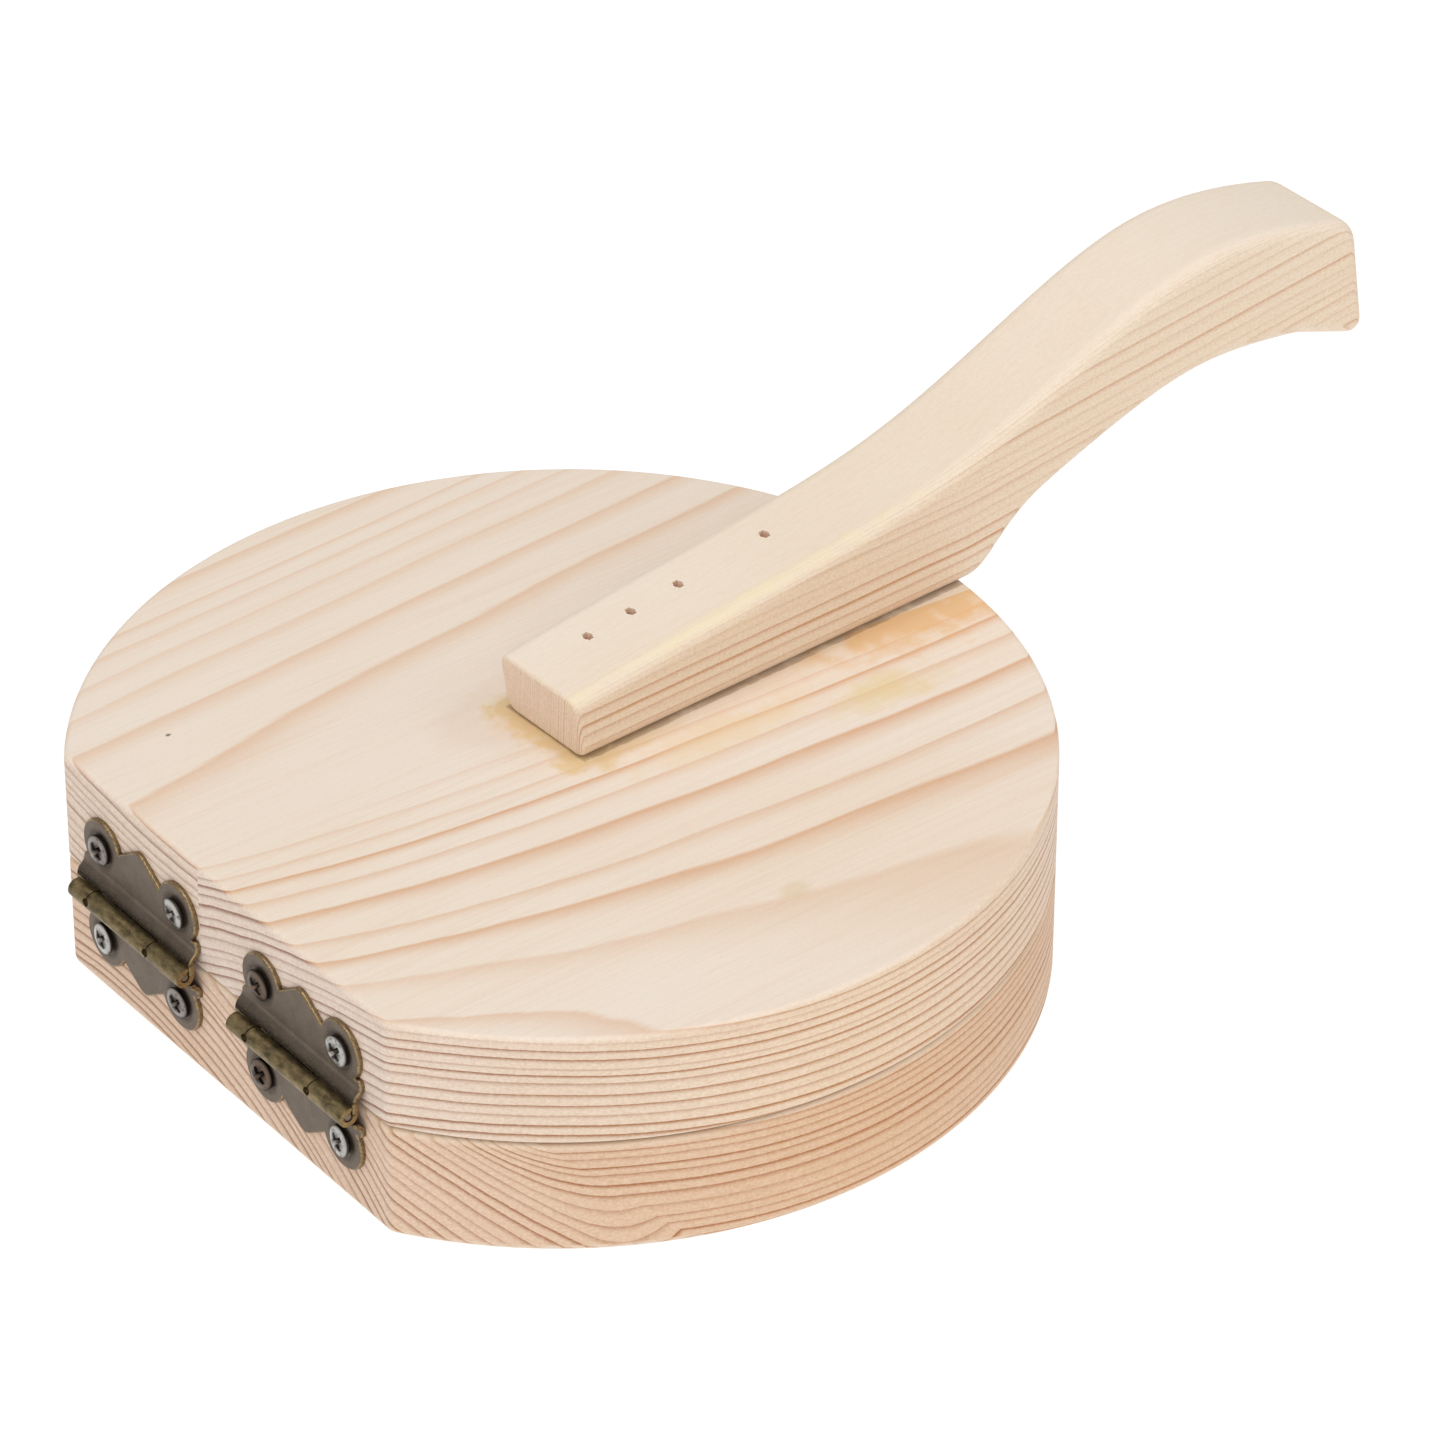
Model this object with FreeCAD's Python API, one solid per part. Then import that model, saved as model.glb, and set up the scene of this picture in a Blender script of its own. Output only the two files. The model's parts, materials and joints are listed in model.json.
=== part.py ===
import FreeCAD, Part
import math
import os
from FreeCAD import Placement, Rotation, Vector

# Hand press: two round pine boards with a flat at the back, joined there by two small butterfly
# hinges, and a bent lever handle glued and bradded on the lid.
# Frame, in millimetres: the origin is the centre of the round on the underside of the base board,
# +X points from the hinges to the tip of the handle and +Z points up. The lid is shut.

# ---- Driving dimensions -------------------------------------------------------------------

# Boards
board_radius = 80.0
base_thickness = 20.8
lid_thickness = 20.3
closing_gap = 0.4              # left between the shut boards by the hinges
flat_corner_round = 3.0        # upright corners where the flat meets the round
board_edge_round = 0.9
foot_edge_round = 1.5          # lower edge of the base board

# Glue joint between the two staves of the lid
stave_joint_y = 6.4            # where the joint meets the hinge flat
stave_joint_angle = -5.0       # the joint's heading from +X, in degrees

# Handle
handle_width = 20.0
handle_inner_x = -1.4          # foot of the inner end
handle_inner_y = 2.5           # middle of the inner end, a little off the board's middle
handle_skew = 2.2              # the handle's heading from +X, in degrees
handle_inner_height = 11.5     # of the inner end above the lid
handle_end_undercut = 1.7      # how far the inner end leans over the lid
handle_grip = 90.4             # from the lid's rim, where the flat seat ends, out to the tip
tip_lean = 3.6                 # the tip's lower corner reaches this much further out
tip_upper_round = 6.5
tip_lower_round = 2.5
handle_edge_round = 2.4
handle_end_round = 0.8         # edges of the inner end, above the lid

# Brads through the handle into the lid
brad_along = (10.7, 19.6, 29.5, 47.7)   # from the handle's inner end
brad_offset = 2.4              # to one side of the handle's middle
brad_length = 25.0
brad_thick = 1.05
brad_wide = 1.3
brad_head_wide = 2.0
brad_head_height = 0.9
brad_sunk = 1.2                # from the handle's top down to the brad's head
brad_mouth_radius = 0.8        # where the fibres around the slot have broken away

# Hinges
barrel_length = 32.4
hinge_gap = 12.6               # between the barrels of the two hinges
hinge_end_margin = 5.75        # from a barrel's outer end to the end of the flat
pin_stand_off = 3.2            # from the flat out to the pin's middle
middle_knuckle = 16.8
middle_knuckle_shift = 1.5     # of the middle knuckle along the barrel, towards +Y
knuckle_gap = 0.25             # endways, between one knuckle and the next
leaf_thickness = 0.9
pin_diameter = 1.5
pin_clearance = 0.05           # radial, between the pin and the lid leaf's knuckles
pin_end_set_back = 0.15
leaf_room = 0.3                # between a leaf's edge and the other leaf's knuckle
roll_end_angle = 25.0          # where a rolled knuckle stops, before its own leaf
barrel_set_back = 1.2          # of the barrel's +Y end from the leaf's side
notch_radius = 0.65            # of the round notches where one knuckle ends and the next begins
notch_angle = 12.0             # how far above level they face
lobe_radius = 5.2
step_start = 4.6               # from the pin up to where the flat leaf steps out to the knuckle
step_radius = 1.9              # of the two bends of that step, along the sheet's middle
lobe_inset = 5.5               # from the barrel's end in to a lobe's centre, along the pin
lobe_up = 8.8                  # from the pin to a lobe's centre
lobe_start = -39.0             # a lobe's two ends, in degrees from its outward side
lobe_finish = 161.0
crest_height = 13.9            # of the peak between the lobes, from the pin
crest_round = 2.5
leaf_edge_round = 0.4

# Screws of the hinges
screw_length = 14.0
screw_shank = 2.6
screw_thread = 2.9
screw_pitch = 1.1
screw_point = 3.0
screw_head = 5.4
screw_head_rim = 0.3
screw_head_dome = 0.5
screw_hole_clearance = 0.2     # radial, between the thread and the leaf's hole
head_overhang = 0.4            # radial, of the screw's head past its countersink
recess_span = 3.5
recess_foot_span = 1.4
recess_width = 0.9
recess_depth = 1.3
# Small lean of each screw, as driven by hand: degrees about Y and about Z, lid pair then base pair
screw_leans = {
    "right": ((2.0, 3.0), (-3.0, -2.0), (2.0, -3.0), (-2.0, 3.0)),
    "left": ((-3.0, 2.0), (2.0, 3.0), (4.0, 5.0), (3.0, -4.0)),
}

# ---- Derived places -----------------------------------------------------------------------

flat_length = 2 * barrel_length + hinge_gap + 2 * hinge_end_margin
hinge_flat = math.sqrt(board_radius ** 2 - (flat_length / 2) ** 2)   # from the round's centre
lid_bottom = base_thickness + closing_gap
lid_top = lid_bottom + lid_thickness
handle_seat = board_radius - handle_inner_x
handle_tip = handle_seat + handle_grip
knuckle_bore = pin_diameter / 2 + pin_clearance
knuckle_radius = knuckle_bore + leaf_thickness
pin_x = -hinge_flat - pin_stand_off
pin_z = base_thickness + closing_gap / 2
hinge_middle = (barrel_length + hinge_gap) / 2
hinge_middles = {"right": hinge_middle, "left": -hinge_middle}
lobe_out = barrel_length / 2 - lobe_inset
screw_hole = screw_thread + 2 * screw_hole_clearance
countersink = screw_head - 2 * head_overhang

X = Vector(1, 0, 0)
Y = Vector(0, 1, 0)
Z = Vector(0, 0, 1)


# ---- Helpers ------------------------------------------------------------------------------

def rounded(shape, radius, chosen):
    """The shape with a fillet on every edge that chosen(edge) picks."""
    edges = [edge for edge in shape.Edges if chosen(edge)]
    return shape.makeFillet(radius, edges)


def is_level_at(height):
    """Picks the edges that lie flat at one height."""
    return lambda edge: edge.BoundBox.ZLength < 1e-4 and abs(edge.BoundBox.ZMin - height) < 1e-4


def line(start, end):
    return Part.LineSegment(start, end).toShape()


def arc(start, middle, end):
    return Part.Arc(start, middle, end).toShape()


def turned(profile_edges, centre, direction):
    """A solid turned about an axis from the edges of half its section."""
    face = Part.Face(Part.Wire(profile_edges))
    return face.revolve(centre, direction, 360)


def save(name, shape):
    """Writes one piece as a STEP file, after checking that it is one sound solid."""
    solids = shape.Solids
    if len(solids) != 1 or not solids[0].isValid():
        raise ValueError("%s has %d solids, or an unsound one" % (name, len(solids)))
    solids[0].exportStep("parts/%s.step" % name)


# ---- Boards -------------------------------------------------------------------------------

def board(bottom, thickness, lower_round, upper_round):
    """A round board with a flat at the back, its corners and rims rounded."""
    disc = Part.makeCylinder(board_radius, thickness, Vector(0, 0, bottom))
    beyond = Part.makeBox(board_radius, 2 * board_radius, thickness,
                          Vector(-hinge_flat - board_radius, -board_radius, bottom))
    blank = disc.cut(beyond)
    blank = rounded(blank, flat_corner_round,
                    lambda edge: edge.BoundBox.ZLength > thickness / 2 and edge.CenterOfMass.x < 0)
    blank = rounded(blank, lower_round, is_level_at(bottom))
    return rounded(blank, upper_round, is_level_at(bottom + thickness))


def stave_side(side):
    """A block that covers one side of the lid's glue joint: side 1 is towards +Y, -1 towards -Y."""
    reach = 4 * board_radius
    block = Part.makeBox(2 * reach, reach, 2 * lid_thickness,
                         Vector(-reach, 0 if side > 0 else -reach, -lid_thickness / 2))
    block.Placement = Placement(Vector(-hinge_flat, stave_joint_y, lid_bottom),
                                Rotation(Z, stave_joint_angle))
    return block


# ---- Handle -------------------------------------------------------------------------------

def place_on_lid(shape):
    """Moves a shape from the handle's own frame (its inner foot at 0, X along it) onto the lid."""
    placed = shape.copy()
    placed.Placement = Placement(Vector(handle_inner_x, handle_inner_y, lid_top),
                                 Rotation(Z, handle_skew))
    return placed


def handle_upper_curve():
    """Upper line of the handle, from the inner end to the tip: flat, a rise, then the grip's crown."""
    grip = handle_grip
    points = [
        Vector(-handle_end_undercut, 0, handle_inner_height),
        Vector(handle_seat * 0.35, 0, handle_inner_height + 3.6),
        Vector(handle_seat * 0.62, 0, handle_inner_height + 6.1),
        Vector(handle_seat * 0.94, 0, handle_inner_height + 10.6),
        Vector(handle_seat + grip * 0.17, 0, handle_inner_height + 17.9),
        Vector(handle_seat + grip * 0.37, 0, handle_inner_height + 25.5),
        Vector(handle_seat + grip * 0.57, 0, handle_inner_height + 30.3),
        Vector(handle_seat + grip * 0.82, 0, handle_inner_height + 28.4),
        Vector(handle_tip - tip_lean, 0, handle_inner_height + 24.6),
    ]
    curve = Part.BSplineCurve()
    curve.interpolate(points)
    return curve


def handle_lower_curve():
    """Lower line of the handle, from the lid's rim out to the tip: a quick rise, then the grip."""
    grip = handle_grip
    points = [
        Vector(handle_seat, 0, 0),
        Vector(handle_seat + grip * 0.070, 0, 3.2),
        Vector(handle_seat + grip * 0.145, 0, 9.0),
        Vector(handle_seat + grip * 0.235, 0, 12.7),
        Vector(handle_seat + grip * 0.42, 0, 18.2),
        Vector(handle_seat + grip * 0.62, 0, 20.7),
        Vector(handle_seat + grip * 0.80, 0, 18.7),
        Vector(handle_tip, 0, 12.2),
    ]
    curve = Part.BSplineCurve()
    curve.interpolate(Points=points, InitialTangent=Vector(8, 0, 0), FinalTangent=Vector(12, 0, -4.5))
    return curve


def handle_blank():
    """The handle in its own frame: the sawn outline, then its edges eased."""
    upper = handle_upper_curve()
    lower = handle_lower_curve()
    foot = Vector(0, 0, 0)
    edges = [
        line(foot, lower.StartPoint),
        lower.toShape(),
        line(lower.EndPoint, upper.EndPoint),
        upper.toShape(),
        line(upper.StartPoint, foot),
    ]
    outline = Part.Face(Part.Wire(edges))
    half = Vector(0, handle_width / 2, 0)
    outline.translate(-half)
    blank = outline.extrude(2 * half)

    def crosses_at(point):
        return lambda edge: (edge.BoundBox.YLength > handle_width / 2
                             and (edge.CenterOfMass - Vector(point.x, 0, point.z)).Length < 1e-3)

    blank = rounded(blank, tip_upper_round, crosses_at(upper.EndPoint))
    blank = rounded(blank, tip_lower_round, crosses_at(lower.EndPoint))

    def is_sawn_edge(edge):
        on_a_side = edge.BoundBox.YLength < 1e-4
        return on_a_side and edge.BoundBox.ZMax > 1e-3 and edge.CenterOfMass.x > handle_seat * 0.3

    def is_inner_end_edge(edge):
        box = edge.BoundBox
        return box.XMax < handle_edge_round and box.ZMax > handle_edge_round

    blank = rounded(blank, handle_edge_round, is_sawn_edge)
    return rounded(blank, handle_end_round, is_inner_end_edge)


# ---- Brads --------------------------------------------------------------------------------

def brad_tools(along):
    """A brad and the slot it is sunk in, in the handle's own frame."""
    upper = handle_upper_curve()
    top = upper.value(upper.parameter(Vector(along, 0, handle_inner_height))).z
    head_top = top - brad_sunk

    def bar(wide, low, high):
        return Part.makeBox(brad_thick, wide, high - low,
                            Vector(along - brad_thick / 2, brad_offset - wide / 2, low))

    head = bar(brad_head_wide, head_top - brad_head_height, head_top)
    shank = bar(brad_wide, head_top - brad_length, head_top - brad_head_height)
    slot = bar(brad_head_wide, head_top - brad_head_height, top + brad_sunk)
    mouth = Part.makeCylinder(brad_mouth_radius, 2 * brad_sunk, Vector(along, brad_offset, head_top))
    brad = head.fuse(shank).removeSplitter()
    return place_on_lid(brad), place_on_lid(slot.fuse([shank, mouth]))


# ---- Hinges -------------------------------------------------------------------------------

def leaf_outline():
    """The outline of the lid's leaf about the hinge's middle, as a block through its depth."""
    half = barrel_length / 2

    def at(y, z):
        return Vector(0, y, z)

    def on_lobe(side, degrees):
        angle = math.radians(degrees)
        return at(side * (lobe_out + lobe_radius * math.cos(angle)),
                  lobe_up + lobe_radius * math.sin(angle))

    lobe_foot = on_lobe(1, lobe_start)
    ear_rise = lobe_foot.z - step_start
    ear_run = half - lobe_foot.y
    ear_round = (ear_run ** 2 + ear_rise ** 2) / (2 * ear_run)
    diagonal = ear_round * math.sqrt(0.5)

    def on_ear(side):
        return at(side * (half - ear_round + diagonal), step_start + diagonal)

    lobe_middle = (lobe_start + lobe_finish) / 2
    crest_middle = crest_height - crest_round
    cusp = on_lobe(1, lobe_finish)
    cusp_rise = cusp.z - crest_middle
    tangent = math.atan2(cusp_rise, cusp.y) + math.acos(crest_round / math.hypot(cusp.y, cusp_rise))
    peak_y = crest_round * math.cos(tangent)
    peak_z = crest_middle + crest_round * math.sin(tangent)
    edges = [
        line(at(-half, 0), at(-half, step_start)),
        arc(at(-half, step_start), on_ear(-1), on_lobe(-1, lobe_start)),
        arc(on_lobe(-1, lobe_start), on_lobe(-1, lobe_middle), on_lobe(-1, lobe_finish)),
        line(on_lobe(-1, lobe_finish), at(-peak_y, peak_z)),
        arc(at(-peak_y, peak_z), at(0, crest_height), at(peak_y, peak_z)),
        line(at(peak_y, peak_z), cusp),
        arc(cusp, on_lobe(1, lobe_middle), on_lobe(1, lobe_start)),
        arc(on_lobe(1, lobe_start), on_ear(1), at(half, step_start)),
        line(at(half, step_start), at(half, 0)),
        line(at(half, 0), at(-half, 0)),
    ]
    return Part.Face(Part.Wire(edges)).extrude(2 * pin_stand_off * X)


def leaf_plate():
    """The lid's leaf without its knuckles: a sheet flat on the wood that steps out to their back."""
    half = barrel_length / 2
    half_sheet = leaf_thickness / 2
    flat_x = pin_stand_off - half_sheet
    roll_x = knuckle_bore + half_sheet
    turn = math.acos(1 - (flat_x - roll_x) / (2 * step_radius))
    step_end = step_start - 2 * step_radius * math.sin(turn)

    def at(x, z):
        return Vector(x, -half, z)

    def bend(centre_x, centre_z, radius, start, finish):
        angles = (start, (start + finish) / 2, finish)
        return arc(*[at(centre_x + radius * math.cos(a), centre_z + radius * math.sin(a))
                     for a in angles])

    def upper_bend(radius, start, finish):
        return bend(flat_x - step_radius, step_start, radius, start, finish)

    def lower_bend(radius, start, finish):
        return bend(roll_x + step_radius, step_end, radius, math.pi + start, math.pi + finish)

    front = [
        line(at(flat_x - half_sheet, 2 * crest_height), at(flat_x - half_sheet, step_start)),
        upper_bend(step_radius - half_sheet, 0, -turn),
        lower_bend(step_radius + half_sheet, -turn, 0),
        line(at(roll_x - half_sheet, step_end), at(roll_x - half_sheet, 0)),
    ]
    back = [
        line(at(roll_x + half_sheet, 0), at(roll_x + half_sheet, step_end)),
        lower_bend(step_radius - half_sheet, 0, -turn),
        upper_bend(step_radius + half_sheet, -turn, 0),
        line(at(flat_x + half_sheet, step_start), at(flat_x + half_sheet, 2 * crest_height)),
    ]
    ends = [line(at(roll_x - half_sheet, 0), at(roll_x + half_sheet, 0)),
            line(at(flat_x + half_sheet, 2 * crest_height), at(flat_x - half_sheet, 2 * crest_height))]
    section = Part.Face(Part.Wire(front + ends[:1] + back + ends[1:]))
    plate = section.extrude(barrel_length * Y).common(leaf_outline())
    skin = Part.Wire(front).extrude(barrel_length * Y)

    def is_front_rim(edge):
        box = edge.BoundBox
        across = box.XLength < 1e-4 and box.ZLength < 1e-4
        middle = Part.Vertex(edge.valueAt((edge.FirstParameter + edge.LastParameter) / 2))
        return not across and middle.distToShape(skin)[0] < 1e-4

    return rounded(plate, leaf_edge_round, is_front_rim)


def knuckle(start, finish, bore, up):
    """A knuckle rolled from the leaf: a tube about the pin, open where the roll stops."""
    length = finish - start
    foot = Vector(0, start, 0)
    tube = Part.makeCylinder(knuckle_radius, length, foot, Y)
    tube = tube.cut(Part.makeCylinder(bore, length, foot, Y))
    reach = 2 * knuckle_radius
    angle = math.radians(roll_end_angle)
    opening = Part.makePolygon([
        Vector(0, start, 0),
        Vector(reach * math.sin(angle), start, up * reach * math.cos(angle)),
        Vector(reach, start, up * reach),
        Vector(reach, start, 0),
        Vector(0, start, 0),
    ])
    return tube.cut(Part.Face(opening).extrude(length * Y))


def block_across(y_from, y_to, depth, up):
    """A block that cuts a leaf back from the pin, between two places along it."""
    low = -0.5 * knuckle_radius if up > 0 else -depth
    return Part.makeBox(4 * knuckle_radius, y_to - y_from, depth + 0.5 * knuckle_radius,
                        Vector(-knuckle_radius, y_from, low))


def notch(y):
    """A short radial bar that opens a round notch down to the pin, where two knuckles meet."""
    angle = math.radians(notch_angle)
    outward = Vector(-math.cos(angle), 0, math.sin(angle))
    return Part.makeCylinder(notch_radius, 2 * knuckle_radius, Vector(0, y, 0), outward)


def leaf(up):
    """A whole leaf about the hinge's middle, the lid's with up 1 and the base's with up -1."""
    half = barrel_length / 2
    low = middle_knuckle_shift - middle_knuckle / 2
    high = middle_knuckle_shift + middle_knuckle / 2
    room = knuckle_radius + leaf_room
    plate = leaf_plate()
    if up > 0:
        low -= knuckle_gap
        high += knuckle_gap
        plate = plate.cut(block_across(low, high, room, up))
        spans = ((-half, low), (high, half - barrel_set_back))
        bore = knuckle_bore
    else:
        plate.rotate(Vector(0, 0, 0), X, 180)
        plate = plate.cut(block_across(high, half, room, up))
        plate = plate.cut(block_across(-half, low, room, up))
        spans = ((low, high),)
        bore = pin_diameter / 2
    for start, finish in spans:
        plate = plate.fuse(knuckle(start, finish, bore, up))
    plate = plate.removeSplitter()
    plate = plate.cut([notch(low), notch(high)])
    for side in (-1, 1):
        seat = Vector(pin_stand_off - leaf_thickness, side * lobe_out, up * lobe_up)
        sink_depth = (countersink - screw_hole) / 2
        plate = plate.cut(Part.makeCylinder(screw_hole / 2, leaf_thickness, seat, X))
        plate = plate.cut(Part.makeCone(countersink / 2, screw_hole / 2, sink_depth, seat, X))
    return plate


def hinge_pin():
    """The pin about the hinge's middle, its ends eased."""
    length = barrel_length - barrel_set_back - 2 * pin_end_set_back
    start = pin_end_set_back - barrel_length / 2
    pin = Part.makeCylinder(pin_diameter / 2, length, Vector(0, start, 0), Y)
    return pin.makeChamfer(pin_diameter / 8, [e for e in pin.Edges if e.BoundBox.YLength < 1e-4])


def screw():
    """A raised countersunk wood screw that points along +X, with the leaf's face at X 0."""
    head_radius = screw_head / 2
    shank_radius = screw_shank / 2
    thread_radius = screw_thread / 2
    rim_low = -(head_radius - countersink / 2)
    rim_high = rim_low - screw_head_rim
    top = rim_high - screw_head_dome
    neck = rim_low + head_radius - shank_radius
    end = screw_length

    def at(x, r):
        return Vector(x, 0, r)

    dome_middle = at(top + screw_head_dome * 0.26, head_radius / 2)
    points = [at(rim_high, head_radius), at(rim_low, head_radius), at(neck, shank_radius)]
    turns = int((end - screw_point - neck) / screw_pitch)
    thread_start = end - screw_point - turns * screw_pitch
    for turn in range(turns):
        x = thread_start + turn * screw_pitch
        points.append(at(x, shank_radius))
        points.append(at(x + screw_pitch * 0.35, thread_radius))
    points.append(at(end - screw_point, shank_radius))
    points.append(at(end, 0))
    points.append(at(top, 0))
    edges = [arc(at(top, 0), dome_middle, points[0])]
    edges += [line(a, b) for a, b in zip(points, points[1:])]
    body = turned(edges, Vector(0, 0, 0), X)
    wing = Part.makePolygon([
        at(top - 1, -recess_span / 2), at(top, -recess_span / 2),
        at(top + recess_depth, -recess_foot_span / 2), at(top + recess_depth, recess_foot_span / 2),
        at(top, recess_span / 2), at(top - 1, recess_span / 2), at(top - 1, -recess_span / 2),
    ])
    wing = Part.Face(wing).extrude(recess_width * Y)
    wing.translate(-recess_width / 2 * Y)
    for quarter in (45, 135):
        cutter = wing.copy()
        cutter.rotate(Vector(0, 0, 0), X, quarter)
        body = body.cut(cutter)
    return body


def placed_screw(middle_y, side, up, leans):
    """A screw in one of a hinge's four holes, leaning a little as it was driven."""
    one = screw()
    about_y, about_z = leans
    one.rotate(Vector(0, 0, 0), Y, about_y)
    one.rotate(Vector(0, 0, 0), Z, about_z)
    one.translate(Vector(-hinge_flat - leaf_thickness, middle_y + side * lobe_out, pin_z + up * lobe_up))
    return one


# ---- The whole press ----------------------------------------------------------------------

os.makedirs("parts", exist_ok=True)
lid_fasteners = []
base_fasteners = []

for hand, middle_y in hinge_middles.items():
    leans = screw_leans[hand]
    for up, name, fasteners, pair in ((1, "lid", lid_fasteners, leans[:2]),
                                      (-1, "base", base_fasteners, leans[2:])):
        one_leaf = leaf(up)
        one_leaf.translate(Vector(pin_x, middle_y, pin_z))
        for number, side in ((1, 1), (2, -1)):
            one_screw = placed_screw(middle_y, side, up, pair[number - 1])
            save("%s_hinge_%s_screw_%d" % (hand, name, number), one_screw)
            fasteners.append(one_screw)
            one_leaf = one_leaf.cut(one_screw)
        save("%s_hinge_%s_leaf" % (hand, name), one_leaf)
    pin = hinge_pin()
    pin.translate(Vector(pin_x, middle_y, pin_z))
    save("%s_hinge_pin" % hand, pin)

handle = place_on_lid(handle_blank())
for number, along in enumerate(brad_along, 1):
    brad, slot = brad_tools(along)
    save("handle_brad_%d" % number, brad)
    handle = handle.cut(slot)
    lid_fasteners.append(brad)
save("handle", handle)

base_board = board(0, base_thickness, foot_edge_round, board_edge_round)
for fastener in base_fasteners:
    base_board = base_board.cut(fastener)
save("base_board", base_board)

lid_board = board(lid_bottom, lid_thickness, board_edge_round, board_edge_round)
for fastener in lid_fasteners:
    lid_board = lid_board.cut(fastener)
save("lid_stave_back", lid_board.common(stave_side(1)))
save("lid_stave_front", lid_board.common(stave_side(-1)))
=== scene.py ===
import json
import math
import random

import bpy
from mathutils import Matrix, Vector

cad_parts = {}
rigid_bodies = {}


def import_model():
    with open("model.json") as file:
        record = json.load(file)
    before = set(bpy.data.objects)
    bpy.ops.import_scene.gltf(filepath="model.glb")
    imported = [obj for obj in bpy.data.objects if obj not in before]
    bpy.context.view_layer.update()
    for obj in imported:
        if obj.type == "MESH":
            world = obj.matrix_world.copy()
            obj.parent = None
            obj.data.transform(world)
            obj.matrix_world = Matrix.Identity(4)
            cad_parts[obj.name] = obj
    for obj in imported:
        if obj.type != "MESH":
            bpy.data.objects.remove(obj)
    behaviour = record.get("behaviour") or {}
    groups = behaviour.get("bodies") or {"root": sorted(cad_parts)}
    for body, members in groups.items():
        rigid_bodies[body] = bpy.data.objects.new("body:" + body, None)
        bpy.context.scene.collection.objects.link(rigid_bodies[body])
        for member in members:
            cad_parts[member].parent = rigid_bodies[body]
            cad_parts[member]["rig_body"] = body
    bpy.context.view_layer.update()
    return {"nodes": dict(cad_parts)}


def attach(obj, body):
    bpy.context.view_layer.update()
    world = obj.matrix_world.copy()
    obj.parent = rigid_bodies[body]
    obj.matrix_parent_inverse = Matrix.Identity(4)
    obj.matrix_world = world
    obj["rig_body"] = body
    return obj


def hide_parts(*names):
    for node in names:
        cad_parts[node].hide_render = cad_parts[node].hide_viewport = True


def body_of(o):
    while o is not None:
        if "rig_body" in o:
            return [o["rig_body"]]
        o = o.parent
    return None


# Hand press for dough: two round pine boards, a bent pine handle and two aged bronze hinges.
# Frame in metres: the origin is the centre of the round under the base board, +X points to the
# handle's tip and +Z up. Distances in this script are in millimetres unless they say metres.

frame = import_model()
nodes = frame["nodes"]

# ---- Places shared by the pieces, in millimetres -------------------------------------------

FLAT_X = -66.5                 # the hinge flat at the back
LEAF_FACE_X = -67.4            # the outer face of the flat leaves
LID_TOP = 41.5
PIN_Z = 21.0
HINGE_MIDDLE = 22.5            # of either hinge from the board's middle, along Y
LOBE_OUT = 10.7                # from a hinge's middle to its screws, along Y
LOBE_UP = 8.8                  # from the pin to the screws
HANDLE_FOOT = (-1.4, 2.5)      # middle of the handle's inner end
HANDLE_SKEW = 2.2              # degrees from +X
HANDLE_HALF_WIDTH = 10.0


# ---- Helpers --------------------------------------------------------------------------------

def linear(code):
    """An sRGB hex colour in the linear values that Blender works in."""
    channels = [int(code[i:i + 2], 16) / 255 for i in (0, 2, 4)]
    return tuple(c / 12.92 if c <= 0.04045 else ((c + 0.055) / 1.055) ** 2.4
                 for c in channels) + (1,)


def adder(tree):
    """A function that adds nodes to the tree. It takes the inputs by name or number, each a value, an
    output of another node or a list of outputs, and the node's own settings, and it gives back the
    node's first output."""
    def add(kind, inputs=None, **settings):
        node = tree.nodes.new(kind if "Node" in kind else "ShaderNode" + kind)
        for key, value in settings.items():
            setattr(node, key, value)
        for key, value in (inputs or {}).items():
            socket = node.inputs[key] if isinstance(key, int) else next(
                s for s in node.inputs if s.enabled and s.name == key)
            if isinstance(value, list):
                for output in value:
                    tree.links.new(output, socket)
            elif isinstance(value, bpy.types.NodeSocket):
                tree.links.new(value, socket)
            else:
                socket.default_value = value
        return next((s for s in node.outputs if s.enabled), None)
    return add


def new_material(name):
    """An empty material with its node adder."""
    material = bpy.data.materials.new(name)
    material.use_nodes = True
    material.node_tree.nodes.clear()
    return material, adder(material.node_tree)


def in_millimetres(add):
    """The place on the piece in millimetres, and the direction that its surface faces."""
    coordinates = add("TexCoord").node.outputs
    place = add("VectorMath", {0: coordinates["Object"], "Scale": 1000.0}, operation="SCALE")
    return place, coordinates["Normal"]


def shorthands(add):
    """Two short ways to add a step of arithmetic and a blend of two colours."""
    def calc(operation, *values, clamp=False):
        return add("Math", dict(enumerate(values)), operation=operation, use_clamp=clamp)

    def mix(share, first, second, kind="MIX"):
        return add("Mix", {"Factor": share, "A": first, "B": second}, data_type="RGBA",
                   blend_type=kind)
    return calc, mix


def finish_surface(add, settings, normal):
    """Ends a material's tree with the shader."""
    shader = add("BsdfPrincipled", dict(settings, Normal=normal))
    add("OutputMaterial", {"Surface": shader})


def give(material, piece):
    """Sets a piece's only material."""
    piece.data.materials.clear()
    piece.data.materials.append(material)


# ---- Pine -----------------------------------------------------------------------------------

def ring_list(known, low, high, spacing, seed):
    """Growth rings as (radius, darkness) from low to high: the known ones, and others on both sides
    of them at about the spacing. With none known, they run in from the high radius."""
    rng = random.Random(seed)
    rings = list(known)
    radius = known[0][0] if known else high
    while radius > low:
        radius -= spacing * rng.uniform(0.7, 1.3)
        rings.append((radius, rng.uniform(0.25, 1.0)))
    radius = known[-1][0] if known else high
    while radius < high:
        radius += spacing * rng.uniform(0.7, 1.3)
        rings.append((radius, rng.uniform(0.2, 0.8)))
    return sorted(rings)


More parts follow.
